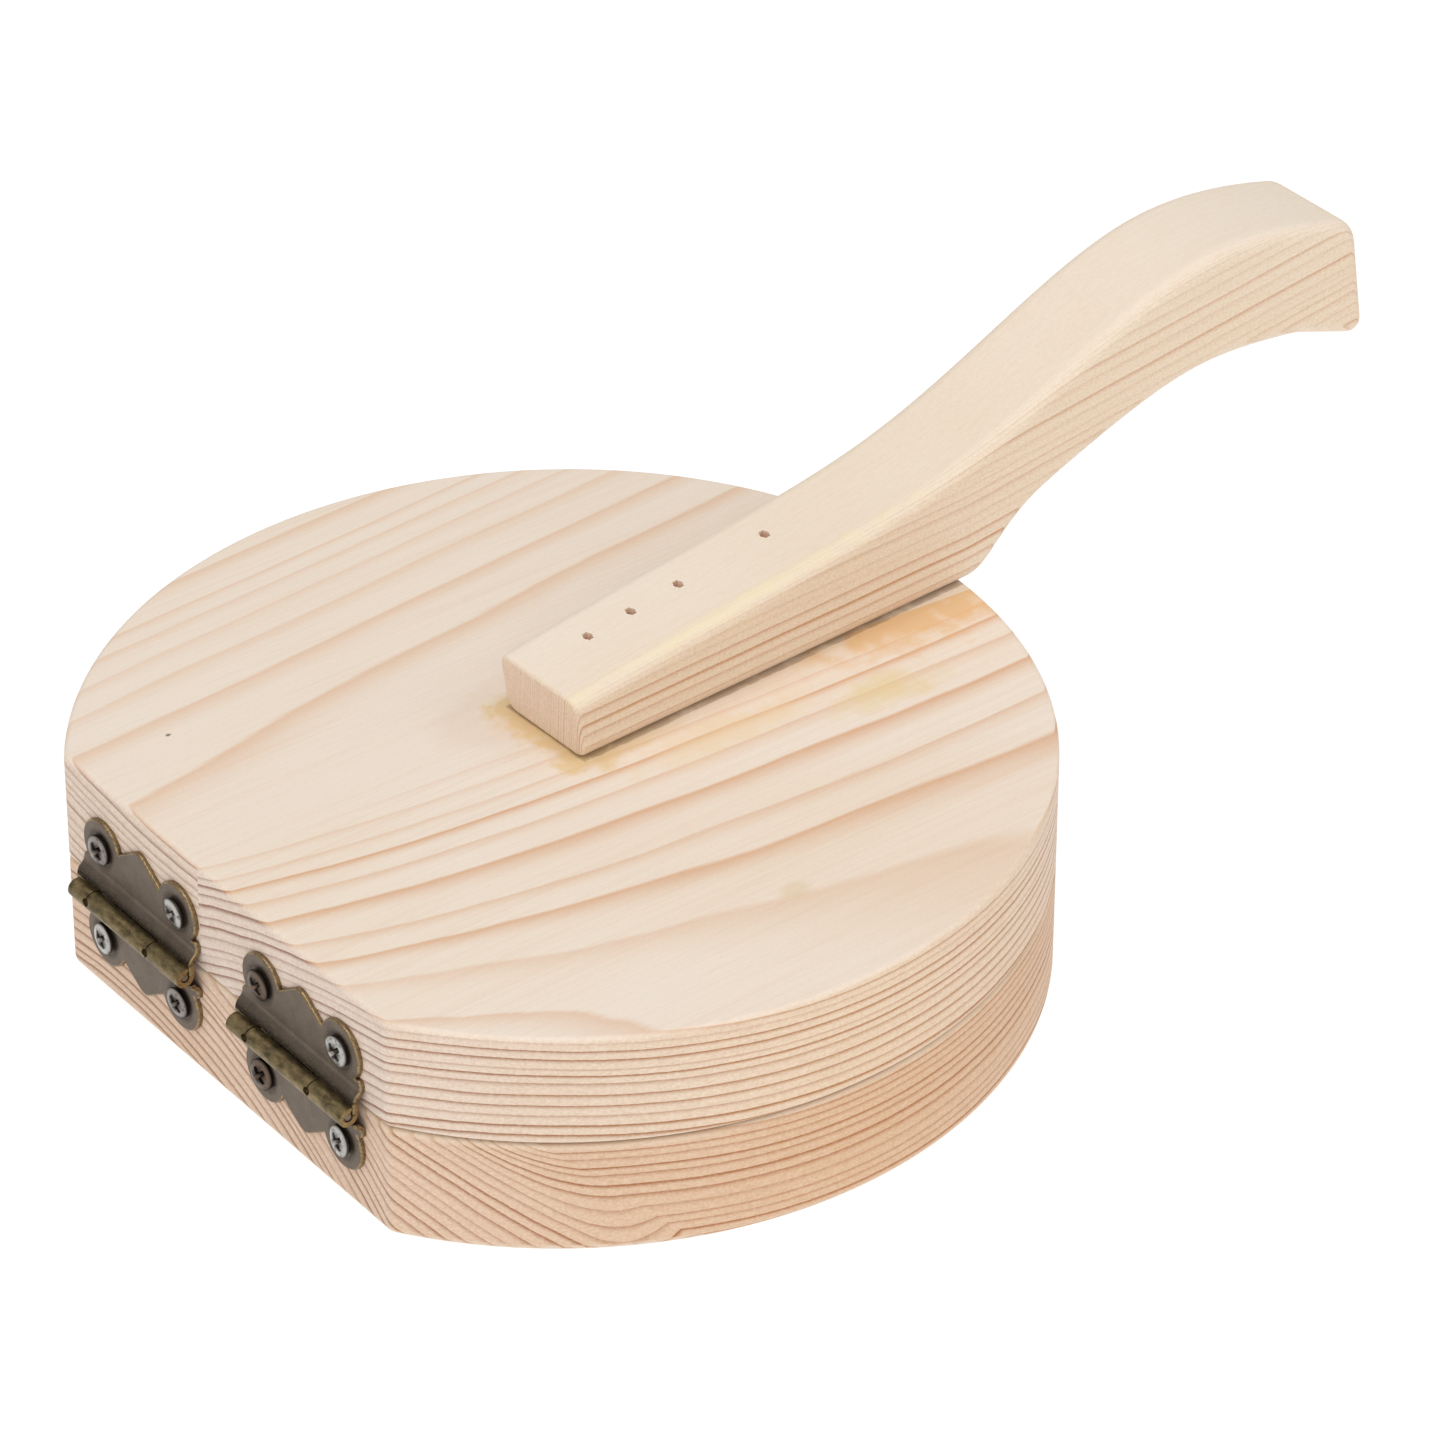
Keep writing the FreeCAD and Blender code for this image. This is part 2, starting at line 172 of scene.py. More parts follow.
def curve_node(add, value, points):
    """A float curve of straight runs through the points."""
    out = add("FloatCurve", {"Value": value})
    mapping = out.node.mapping
    mapping.extend = "HORIZONTAL"
    curve = mapping.curves[0]
    curve.points[0].location = points[0]
    curve.points[1].location = points[-1]
    for point in points[1:-1]:
        curve.points.new(*point)
    for point in curve.points:
        point.handle_type = "VECTOR"
    mapping.update()
    return out


def pine(name, rings, pith, drift, tones, side_tones, stains=(), skew=0.0, wave=1.0,
         swerve=None, glue_and_joint_shadow=False):
    """Sanded, unfinished pine. The growth rings are circles about the pith, a line along the grain,
    so one field gives straight and cathedral lines on the faces and arcs on the end grain.
    The tones are two for the field, then the latewood. The side tones tint the sides along the
    grain and across its ends, and are followed by the latewood there. A swerve moves the pith
    between two places along the grain, as beside a knot."""
    material, add = new_material(name)
    calc, mix = shorthands(add)

    def noise(vector, scale, detail=2.0, roughness=0.5):
        return add("TexNoise", {"Vector": vector, "Scale": scale, "Detail": detail,
                                "Roughness": roughness})

    place, normal = in_millimetres(add)
    place = add("VectorRotate", {"Vector": place, "Angle": math.radians(-skew)},
                rotation_type="Z_AXIS")
    x, y, z = add("SeparateXYZ", {0: place}).node.outputs[:3]

    def stretched(along, across):
        """The place scaled for a pattern, in cells per millimetre along the grain and across."""
        return add("VectorMath", {0: place, 1: (along, across, across)}, operation="MULTIPLY")

    # Rings: distance from the pith, drifting along the grain, with slow waves and a fine tremble
    slow = noise(stretched(0.010, 0.045), 1.0)
    fine = noise(stretched(0.05, 0.35), 1.0)

    def distance(centre):
        across, up = calc("SUBTRACT", y, centre[0]), calc("SUBTRACT", z, centre[1])
        return calc("SQRT", calc("ADD", calc("MULTIPLY", across, across),
                                 calc("MULTIPLY", up, up)))

    radius = distance(pith)
    if swerve:
        far_pith, shift, start, finish = swerve
        far = distance(far_pith)
        gone = calc("DIVIDE", calc("SUBTRACT", calc("ADD", x, z), start), finish - start, clamp=True)
        step = calc("SUBTRACT", calc("ADD", far, shift), radius)
        radius = calc("ADD", radius, calc("MULTIPLY", gone, step))
    radius = calc("ADD", radius, drift(calc, x))
    radius = calc("ADD", radius, calc("MULTIPLY", calc("SUBTRACT", slow, 0.5), 1.1 * wave))
    radius = calc("ADD", radius, calc("MULTIPLY", calc("SUBTRACT", fine, 0.5), 0.22 * wave))
    low, high = rings[0][0], rings[-1][0]
    count = len(rings) - 1
    share = calc("DIVIDE", calc("SUBTRACT", radius, low), high - low)
    phase = curve_node(add, share, [((r - low) / (high - low), i / count)
                                    for i, (r, _) in enumerate(rings)])
    phase = calc("MULTIPLY", phase, float(count))
    index = calc("FLOOR", phase)
    darkness = curve_node(add, calc("DIVIDE", calc("ADD", index, 0.5), float(count)),
                          [((i + 0.5) / count, d) for i, (_, d) in enumerate(rings[1:])])
    # Latewood darkens over the outer half of each ring and stops short at the next one
    within = calc("FRACT", phase)
    late = calc("DIVIDE", calc("SUBTRACT", within, 0.45), 0.55, clamp=True)
    late = calc("MULTIPLY", calc("POWER", late, 1.8),
                calc("DIVIDE", calc("SUBTRACT", 1.0, within), 0.07, clamp=True))
    along, _, upward = add("SeparateXYZ", {0: normal}).node.outputs[:3]
    end = calc("POWER", calc("ABSOLUTE", along), 1.5)
    side = calc("SUBTRACT", 1.0, calc("ABSOLUTE", upward), clamp=True)
    line = calc("MULTIPLY", late, darkness)
    line = calc("MULTIPLY", line, calc("MULTIPLY_ADD", side, 1.1, 1.05), clamp=True)
    late_tone = mix(side, linear(tones[2]), mix(end, linear(side_tones[2]), linear(side_tones[3])))

    # Fibres run along the grain: streaks 0.6 mm wide on the faces, specks on the end grain, and
    # resin canals. Real canals are 0.1 mm wide, and these are 0.14 mm to show.
    streaks = noise(stretched(0.02, 1.6), 1.0, 4.0, 0.65)
    hairs = noise(stretched(0.12, 7.0), 1.0, 2.0, 0.6)
    cloud = noise(stretched(0.012, 0.04), 1.0, 2.0)
    field = mix(calc("MULTIPLY", calc("SUBTRACT", cloud, 0.35), 2.2, clamp=True),
                linear(tones[0]), linear(tones[1]))
    # The upright sides are a little deeper: warm along the grain, greyer across its ends. This tint
    # is partly the wood's own tone and partly painted shade on the faces that turn away from the top.
    tint = mix(end, linear(side_tones[0]), linear(side_tones[1]))
    field = mix(side, field, tint, "MULTIPLY")
    colour = mix(line, field, late_tone)
    colour = mix(calc("MULTIPLY", calc("SUBTRACT", streaks, 0.45), 0.5, clamp=True), colour,
                 late_tone)
    canals = calc("MULTIPLY", calc("SUBTRACT", hairs, 0.60), 2.4, clamp=True)
    colour = mix(calc("MULTIPLY", canals, 0.35), colour, linear("b98d62"))

    # The sawn sides are fuzzier than the planed faces, in tufts of about 0.6 mm
    fuzz = noise(add("VectorMath", {0: place, 1: (1.6, 1.6, 2.6)}, operation="MULTIPLY"),
                 1.0, 5.0, 0.75)
    shade = calc("MULTIPLY", calc("SUBTRACT", fuzz, 0.5), calc("MULTIPLY_ADD", side, 0.65, 0.15))
    colour = mix(calc("ADD", shade, 0.06, clamp=True), colour, linear("a97f60"))
    colour = mix(calc("SUBTRACT", 0.03, shade, clamp=True), colour, linear("fff6ea"))

    # Each stain is an oval with a ragged rim
    for centre, size, tone, strength in stains:
        offset = add("VectorMath", {0: place, 1: centre}, operation="SUBTRACT")
        offset = add("VectorMath", {0: offset, 1: tuple(1 / s for s in size)}, operation="MULTIPLY")
        reach = add("VectorMath", {0: offset}, operation="LENGTH").node.outputs["Value"]
        ragged = noise(place, 0.22, 3.0)
        reach = calc("ADD", reach, calc("MULTIPLY", calc("SUBTRACT", ragged, 0.5), 1.6))
        spread = calc("MULTIPLY", calc("SUBTRACT", 1.0, reach), 1.6, clamp=True)
        colour = mix(calc("MULTIPLY", spread, strength), colour, linear(tone))

    # A yellow halo of squeezed-out glue and a painted shadow line at the handle's foot
    if glue_and_joint_shadow:
        colour = glue_halo_and_joint_shadow(add, calc, mix, noise, place, upward, colour)

    rough = calc("ADD", 0.56, calc("MULTIPLY", streaks, 0.16))
    height = calc("ADD", calc("MULTIPLY", hairs, 0.5), calc("MULTIPLY", late, 0.25))
    height = calc("ADD", height, calc("MULTIPLY", noise(place, 3.5, 3.0), 0.25))
    height = calc("ADD", height, calc("MULTIPLY", calc("MULTIPLY", fuzz, side), 0.5))
    bump = add("Bump", {"Height": height, "Strength": 0.4, "Distance": 0.00008})
    finish_surface(add, {"Base Color": colour, "Roughness": rough, "Specular IOR Level": 0.3}, bump)
    return material


def glue_halo_and_joint_shadow(add, calc, mix, noise, place, upward, colour):
    """Glue squeezed out round the handle's foot: a yellow halo past the joint, and a painted shadow
    line at the joint.
    """
    foot = add("VectorMath", {0: place, 1: (HANDLE_FOOT[0], HANDLE_FOOT[1], 0)},
               operation="SUBTRACT")
    foot = add("VectorRotate", {"Vector": foot, "Angle": math.radians(-HANDLE_SKEW)},
               rotation_type="Z_AXIS")
    ahead, aside, _ = add("SeparateXYZ", {0: foot}).node.outputs[:3]
    short = calc("MAXIMUM", calc("MULTIPLY", ahead, -1.0), 0.0)
    wide = calc("MAXIMUM", calc("SUBTRACT", calc("ABSOLUTE", aside), HANDLE_HALF_WIDTH), 0.0)
    reach = calc("SQRT", calc("ADD", calc("MULTIPLY", short, short), calc("MULTIPLY", wide, wide)))
    on_top = calc("GREATER_THAN", upward, 0.5)
    ragged = noise(place, 0.25, 4.0, 0.6)
    # The painted shadow line along the joint, on the lid's top only
    painted_joint_shadow = calc("SUBTRACT", calc("MULTIPLY_ADD", ragged, 1.2, -0.25), reach)
    painted_joint_shadow = calc("MULTIPLY", calc("MULTIPLY", painted_joint_shadow, 3.0, clamp=True), on_top)
    halo = calc("SUBTRACT", calc("MULTIPLY", ragged, 13.0), calc("ADD", reach, 1.5))
    near_end = calc("DIVIDE", calc("SUBTRACT", 22.0, ahead), 22.0, clamp=True)
    halo = calc("MULTIPLY", calc("MULTIPLY", halo, 0.3, clamp=True), on_top)
    halo = calc("MULTIPLY", halo, calc("MULTIPLY_ADD", near_end, 0.75, 0.2))
    colour = mix(calc("MULTIPLY", halo, 0.8), colour, linear("e0bf85"))
    return mix(calc("MULTIPLY", painted_joint_shadow, 0.5), colour, linear("86694a"))


def straight(slope):
    """Grain that runs off its axis by so many millimetres of radius per millimetre of length."""
    return lambda calc, x: calc("MULTIPLY", calc("SUBTRACT", x, FLAT_X), slope)


def bowed(reach, run):
    """Grain that leaves the flat at a slant and straightens out along its run."""
    def field(calc, x):
        gone = calc("EXPONENT", calc("DIVIDE", calc("SUBTRACT", FLAT_X, x), run))
        return calc("MULTIPLY", calc("SUBTRACT", 1.0, gone), reach)
    return field


def lifting(slope, start):
    """Straight grain that lifts from a place along the handle on."""
    def field(calc, x):
        beyond = calc("MAXIMUM", calc("SUBTRACT", x, start), 0.0)
        return calc("MULTIPLY", beyond, slope)
    return field


FRONT_RINGS = [(191.2, 0.2), (192.5, 0.5), (194.6, 0.35), (196.56, 0.85), (198.08, 0.5),
               (200.33, 0.9), (202.14, 0.5), (203.72, 1.0), (205.0, 0.4), (206.55, 0.35),
               (208.2, 0.3)]
BACK_RINGS = [(146.2, 0.1), (147.93, 0.65), (150.2, 0.6), (152.3, 0.4), (153.9, 0.35),
              (155.6, 0.4)]
HANDLE_RINGS = [(r, d if r < 924.3 else 0.3 * d) for r, d in ring_list([], 917, 955, 0.5, 9)]
HANDLE_RINGS = sorted([ring for ring in HANDLE_RINGS if not 926.5 < ring[0] < 928.9]
                      + [(926.8, 0.15), (927.4, 0.55), (928.2, 0.1), (928.8, 0.45)])

# Flatsawn pine, planed: pale cream with wide soft orange lines, yellowed by glue and resin
front_pine = pine(
    "pine_flatsawn_lid_front", ring_list(FRONT_RINGS, 166, 212, 1.75, 3), (-75, -148.5),
    bowed(4.6, 45), ("efe2d3", "ecdac5", "d59a66"), ("fdf0e0", "f6f1f2", "b67a48", "97705c"),
    stains=[((50, -21, LID_TOP), (12, 5, 6), "e3cb92", 0.6),
            ((68, -6, LID_TOP), (24, 11, 6), "e2b47c", 0.8),
            ((22, -15, LID_TOP), (22, 5, 6), "e9cfa6", 0.5),
            ((5, -55, LID_TOP), (4, 2.5, 4), "d9bf96", 0.4)], glue_and_joint_shadow=True)
# The stave beside it, a little greyer, with fewer and softer lines
back_pine = pine(
    "pine_flatsawn_lid_back", ring_list(BACK_RINGS, 140, 184, 2.0, 5), (12, 188.5),
    straight(-0.016), ("eee1d2", "ecdcca", "dca87a"), ("fdf0e0", "f6eeea", "b67a48", "97705c"),
    stains=[((-50, 39, LID_TOP), (0.7, 0.5, 1), "5b4636", 0.9)], glue_and_joint_shadow=True)
# A deeper orange board with crowded lines that swing aside beside a knot
base_pine = pine(
    "pine_knotty_base", ring_list([(156, 0.5)], 82, 230, 1.9, 7), (31, -86),
    straight(0.01), ("eddcc8", "e6d0b6", "cb965f"), ("f7e2cf", "f3e5de", "b4713d", "996c51"),
    swerve=((-70, -86), 41.5, -41, -29))
# Slow-grown pine, bandsawn and sanded: fine straight lines on its sides, almost plain on top
handle_pine = pine(
    "pine_fine_grained_handle", HANDLE_RINGS, (-907.45, -158.5),
    lifting(-0.02, 80), ("f1e4d3", "eddcc6", "d9b48d"), ("faf3ea", "fff4ee", "cc9b74", "a8816c"),
    stains=[((45, -5.6, LID_TOP + 13), (75, 1.8, 9), "f1dfb4", 0.45)], skew=HANDLE_SKEW, wave=0.35)

give(front_pine, nodes["lid_stave_front"])
give(back_pine, nodes["lid_stave_back"])
give(base_pine, nodes["base_board"])
give(handle_pine, nodes["handle"])


# ---- Metals ---------------------------------------------------------------------------------

def aged_bronze(name):
    """Stamped sheet, antiqued in a bath and then tumbled. The eye gets a brown-black patina with a
    soft sheen, rubbed through to yellow metal on every edge, and painted shade beside the barrel and
    round the screws."""
    material, add = new_material(name)
    calc, mix = shorthands(add)
    place, normal = in_millimetres(add)
    facing = add("SeparateXYZ", {0: normal}).node.outputs
    off_pin, off_screw = hinge_places(add, calc, place)

    # The flat part is rubbed along its outline, the rolled part only at its ends
    on_flat = calc("GREATER_THAN", off_pin, 4.7)
    rounded_over = calc("LESS_THAN", calc("ABSOLUTE", facing[0]), 0.95)
    at_ends = calc("GREATER_THAN", calc("ABSOLUTE", facing[1]), 0.3)
    edge = calc("ADD", calc("MULTIPLY", on_flat, rounded_over),
                calc("MULTIPLY", calc("SUBTRACT", 1.0, on_flat), at_ends))
    cloud = add("TexNoise", {"Vector": place, "Scale": 0.35, "Detail": 4.0})
    speck = add("TexNoise", {"Vector": place, "Scale": 2.4, "Detail": 3.0})
    scuffs = add("VectorMath", {0: place, 1: (1.1, 0.5, 1.1)}, operation="MULTIPLY")
    scuffs = add("TexNoise", {"Vector": scuffs, "Scale": 1.0, "Detail": 3.0})

    worn = calc("MULTIPLY", edge, calc("MULTIPLY", calc("SUBTRACT", speck, 0.32), 4.0, clamp=True))
    colour = mix(cloud, linear("5a4e42"), linear("7d7064"))
    barrel = calc("LESS_THAN", off_pin, 1.75)
    colour = mix(barrel, colour, mix(calc("MULTIPLY_ADD", scuffs, 2.4, -0.7, clamp=True),
                                     linear("50452f"), linear("94825d")))
    # Painted shade and dark reflection on the leaf beside the barrel, fading out 3.4 mm from the pin;
    # the same band is also rougher
    painted_shade_by_barrel = calc("MULTIPLY", calc("SUBTRACT", 3.4, off_pin), calc("SUBTRACT", 1.0, barrel),
                 clamp=True)
    colour = mix(calc("MULTIPLY", painted_shade_by_barrel, 0.85), colour, linear("2b241c"))
    # A painted shadow ring round each screw head on the leaf, darkest 3 mm from its axis
    ring = calc("SUBTRACT", 1.0, calc("ABSOLUTE", calc("SUBTRACT", off_screw, 3.0)), clamp=True)
    colour = mix(calc("MULTIPLY", ring, 0.75), colour, linear("30281f"))
    colour = mix(calc("MULTIPLY", calc("SUBTRACT", speck, 0.52), 1.6, clamp=True), colour,
                 linear("93815f"))
    colour = mix(calc("MULTIPLY", worn, 0.75), colour, linear("a48b60"))
    rough = calc("SUBTRACT", 0.46, calc("MULTIPLY", worn, 0.14))
    rough = calc("ADD", rough, calc("MULTIPLY", painted_shade_by_barrel, 0.25))
    bump = add("Bump", {"Height": speck, "Strength": 0.25, "Distance": 0.00004})
    finish_surface(add, {"Base Color": colour, "Roughness": rough, "Metallic": 0.9}, bump)
    return material


def hinge_places(add, calc, place):
    """How far a place on a hinge is from the pin, up or down, and from the nearest screw's axis."""
    _, y, z = add("SeparateXYZ", {0: place}).node.outputs[:3]
    off_pin = calc("ABSOLUTE", calc("SUBTRACT", z, PIN_Z))
    off_middle = calc("ABSOLUTE", calc("SUBTRACT", calc("ABSOLUTE", y), HINGE_MIDDLE))
    aside = calc("SUBTRACT", off_middle, LOBE_OUT)
    above = calc("SUBTRACT", off_pin, LOBE_UP)
    off_screw = calc("SQRT", calc("ADD", calc("MULTIPLY", aside, aside),
                                  calc("MULTIPLY", above, above)))
    return off_pin, off_screw


def plated_screws(name):
    """Driven screws: bright on a ring of the dome, with painted shade in and around the cross recess
    and at the head's edge, and dark soiled specks. Their tarnish runs from bright zinc at 0 by dulled
    zinc at 0.5 to bronze at 1."""
    material, add = new_material(name)
    calc, mix = shorthands(add)
    place, _ = in_millimetres(add)
    _, off_screw = hinge_places(add, calc, place)
    speck = add("TexNoise", {"Vector": place, "Scale": 1.3, "Detail": 4.0})
    # Painted shade in and around the cross recess, with a ragged edge
    centre = calc("SUBTRACT", calc("MULTIPLY_ADD", speck, 1.6, 1.1), off_screw, clamp=True)
    # Painted shadow at the head's edge
    rim = calc("MULTIPLY", calc("SUBTRACT", off_screw, 2.3), 2.5, clamp=True)
    share = calc("MAXIMUM", centre, rim)
    # Dark soiled specks
    share = calc("MAXIMUM", share, calc("MULTIPLY", calc("SUBTRACT", speck, 0.52), 4.0, clamp=True))
    tarnish = add("Attribute", attribute_name="tarnish").node.outputs["Fac"]
    dulled = calc("MULTIPLY", tarnish, 2.0, clamp=True)
    browned = calc("MULTIPLY_ADD", tarnish, 2.0, -1.0, clamp=True)
    tone = mix(browned, mix(dulled, linear("b5b2ae"), linear("8f8781")), linear("6b5a4e"))
    # The tone of the painted shade and of the soiled specks
    dark_tone = mix(dulled, linear("4a423a"), linear("332b25"))
    rough = calc("MULTIPLY_ADD", share, 0.25, calc("MULTIPLY_ADD", dulled, 0.08, 0.22))
    bump = add("Bump", {"Height": speck, "Strength": 0.3, "Distance": 0.00006})
    finish_surface(add, {"Base Color": mix(share, tone, dark_tone), "Roughness": rough, "Metallic": 1.0},
                   bump)
    return material


def bare_metal(name, tone, dark_tone, roughness):
    """Plain steel, soiled or rusted in the low spots of its finish, as specks of half a
    millimetre."""
    material, add = new_material(name)
    calc, mix = shorthands(add)
    place, _ = in_millimetres(add)
    speck = add("TexNoise", {"Vector": place, "Scale": 2.0, "Detail": 4.0})
    share = calc("MULTIPLY", calc("SUBTRACT", speck, 0.5), 3.0, clamp=True)
    colour = mix(share, linear(tone), linear(dark_tone))
    rough = calc("MULTIPLY_ADD", share, 0.2, roughness)
    bump = add("Bump", {"Height": speck, "Strength": 0.2, "Distance": 0.00003})
    finish_surface(add, {"Base Color": colour, "Roughness": rough, "Metallic": 1.0}, bump)
    return material


bronze = aged_bronze("antiqued_bronze_leaf")
# Pins are grey and dull at their ends, and brads rusty deep in their holes
pin_steel = bare_metal("dulled_steel_pin", "8b8175", "5a5148", 0.4)
brad_steel = bare_metal("rusted_steel_brad", "c4804a", "8a5530", 0.7)

for node_name, node in nodes.items():
    if "leaf" in node_name:
        give(bronze, node)
    elif "pin" in node_name:
        give(pin_steel, node)
    elif "brad" in node_name:
        give(brad_steel, node)


# ---- Hinge screws ---------------------------------------------------------------------------

# The screw's sizes in millimetres. Its length counts from the face of the leaf.
SCREW_SIZES = {"Head Diameter": 5.4, "Head Above Leaf": 0.4, "Rim Height": 0.3, "Dome Height": 0.5,
               "Shank Diameter": 2.6, "Length": 14.0, "Point Length": 3.0, "Thread Pitch": 1.1,
               "Thread Height": 0.15, "Recess Span": 3.5, "Recess Foot Span": 1.4,
               "Recess Width": 0.9, "Recess Depth": 1.3}
# Each screw's lean about Y and about Z in degrees, as driven by hand, and how tarnished it is
DRIVEN = {
    "right_hinge_lid_screw_1": (2, 3, 0.5), "right_hinge_lid_screw_2": (-3, -2, 0),
    "right_hinge_base_screw_1": (2, -3, 0), "right_hinge_base_screw_2": (-2, 3, 0.5),
    "left_hinge_lid_screw_1": (-3, 2, 1), "left_hinge_lid_screw_2": (2, 3, 0),
    "left_hinge_base_screw_1": (4, 5, 1), "left_hinge_base_screw_2": (3, -4, 0),
}


def screw_tree(finish):
    """A tree that puts one raised countersunk screw at each point, along the point's heading.
    The screw is made in millimetres along +Z, with the face of the leaf at Z 0."""
    tree = bpy.data.node_groups.new("hinge_screws", "GeometryNodeTree")
    tree.interface.new_socket("Places", in_out="INPUT", socket_type="NodeSocketGeometry")
    for name, size in SCREW_SIZES.items():
        socket = tree.interface.new_socket(name, in_out="INPUT", socket_type="NodeSocketFloat")
        socket.default_value = size
    tree.interface.new_socket("Screws", in_out="OUTPUT", socket_type="NodeSocketGeometry")
    add = adder(tree)
    places = add("NodeGroupInput")
    size = places.node.outputs

    def calc(operation, *values):
        return add("Math", dict(enumerate(values)), operation=operation)

    def vector(x, y, z):
        return add("CombineXYZ", {"X": x, "Y": y, "Z": z})

    def moved(part, height):
        return add("GeometryNodeTransform", {"Geometry": part,
                                             "Translation": vector(0.0, 0.0, height)})

    def round_bar(radius, low, high, rings=1):
        """A cylinder from one height to another."""
        bar = add("GeometryNodeMeshCylinder",
                  {"Vertices": 48, "Fill Segments": rings, "Radius": radius,
                   "Depth": calc("SUBTRACT", high, low)}, fill_type="TRIANGLE_FAN")
        return moved(bar, calc("MULTIPLY", calc("ADD", low, high), 0.5))

    def taper(low_radius, high_radius, low, high):
        cone = add("GeometryNodeMeshCone",
                   {"Vertices": 48, "Radius Bottom": low_radius, "Radius Top": high_radius,
                    "Depth": calc("SUBTRACT", high, low)})
        return moved(cone, low)

    head_radius = calc("MULTIPLY", size["Head Diameter"], 0.5)
    shank_radius = calc("MULTIPLY", size["Shank Diameter"], 0.5)
    rim_low = calc("MULTIPLY", size["Head Above Leaf"], -1.0)
    rim_high = calc("SUBTRACT", rim_low, size["Rim Height"])
    top = calc("SUBTRACT", rim_high, size["Dome Height"])
    neck = calc("ADD", rim_low, calc("SUBTRACT", head_radius, shank_radius))
    shoulder = calc("SUBTRACT", size["Length"], size["Point Length"])

    # The head's outer face bulges as a shallow dome: highest in the middle, nothing at its rim
    rim = round_bar(head_radius, rim_high, rim_low, 10)
    x, y, z = add("SeparateXYZ", {0: add("GeometryNodeInputPosition")}).node.outputs[:3]
    off_axis = calc("ADD", calc("MULTIPLY", x, x), calc("MULTIPLY", y, y))
    bulge = calc("SUBTRACT", calc("DIVIDE", off_axis, calc("MULTIPLY", head_radius, head_radius)),
                 1.0)
    on_face = calc("LESS_THAN", z, calc("ADD", rim_high, 0.01))
    head = add("GeometryNodeSetPosition", {
        "Geometry": rim,
        "Selection": on_face,
        "Offset": vector(0.0, 0.0, calc("MULTIPLY", bulge, size["Dome Height"]))})
    head = add("GeometryNodeMeshBoolean", {1: [
        head, taper(head_radius, shank_radius, rim_low, neck)]}, operation="UNION", solver="EXACT")

    # The cross recess is cut by two tapered wings
    spread = math.sqrt(2)
    wing = add("GeometryNodeMeshCone", {
        "Vertices": 4, "Radius Bottom": calc("MULTIPLY", size["Recess Span"], spread / 2),
        "Radius Top": calc("MULTIPLY", size["Recess Foot Span"], spread / 2),
        "Depth": size["Recess Depth"]})
    wing = add("GeometryNodeTransform", {"Geometry": wing, "Rotation": (0, 0, math.pi / 4)})
    narrow = calc("DIVIDE", size["Recess Width"], size["Recess Span"])
    wing = add("GeometryNodeTransform", {"Geometry": moved(wing, calc("SUBTRACT", top, 0.01)),
                                         "Scale": vector(1.0, narrow, 1.0)})
    wings = [add("GeometryNodeTransform", {"Geometry": wing, "Rotation": (0, 0, turn * math.pi / 4)})
             for turn in (1, 3)]
    head = add("GeometryNodeMeshBoolean", {0: head, 1: wings}, operation="DIFFERENCE",
               solver="EXACT")

    # The thread winds up the shank
    threaded = calc("SUBTRACT", shoulder, neck)
    spiral = add("GeometryNodeCurveSpiral", {
        "Resolution": 24, "Rotations": calc("DIVIDE", threaded, size["Thread Pitch"]),
        "Start Radius": shank_radius, "End Radius": shank_radius, "Height": threaded})
    ridge = add("GeometryNodeCurvePrimitiveCircle", {"Resolution": 3,
                                                     "Radius": size["Thread Height"]})
    thread = add("GeometryNodeCurveToMesh", {"Curve": moved(spiral, neck), "Profile Curve": ridge,
                                             "Fill Caps": True})
    shank = round_bar(shank_radius, calc("SUBTRACT", neck, 0.2), shoulder)
    point = taper(shank_radius, 0.0, shoulder, size["Length"])
    screw = add("GeometryNodeJoinGeometry", {"Geometry": [head, shank, point, thread]})

    heading = add("GeometryNodeInputNamedAttribute", {"Name": "heading"}, data_type="FLOAT_VECTOR")
    heading = add("FunctionNodeEulerToRotation", {"Euler": heading})
    screws = add("GeometryNodeInstanceOnPoints", {
        "Points": places, "Instance": screw, "Rotation": heading, "Scale": (0.001, 0.001, 0.001)})
    screws = add("GeometryNodeRealizeInstances", {"Geometry": screws})
    screws = add("GeometryNodeSetShadeSmooth", {"Geometry": screws}, domain="FACE")
    bend = add("GeometryNodeInputMeshEdgeAngle")
    screws = add("GeometryNodeSetShadeSmooth", {
        "Geometry": screws, "Selection": calc("GREATER_THAN", bend, math.radians(35)),
        "Shade Smooth": False}, domain="EDGE")
    screws = add("GeometryNodeSetMaterial", {"Geometry": screws, "Material": finish})
    add("NodeGroupOutput", {"Screws": screws})
    return tree


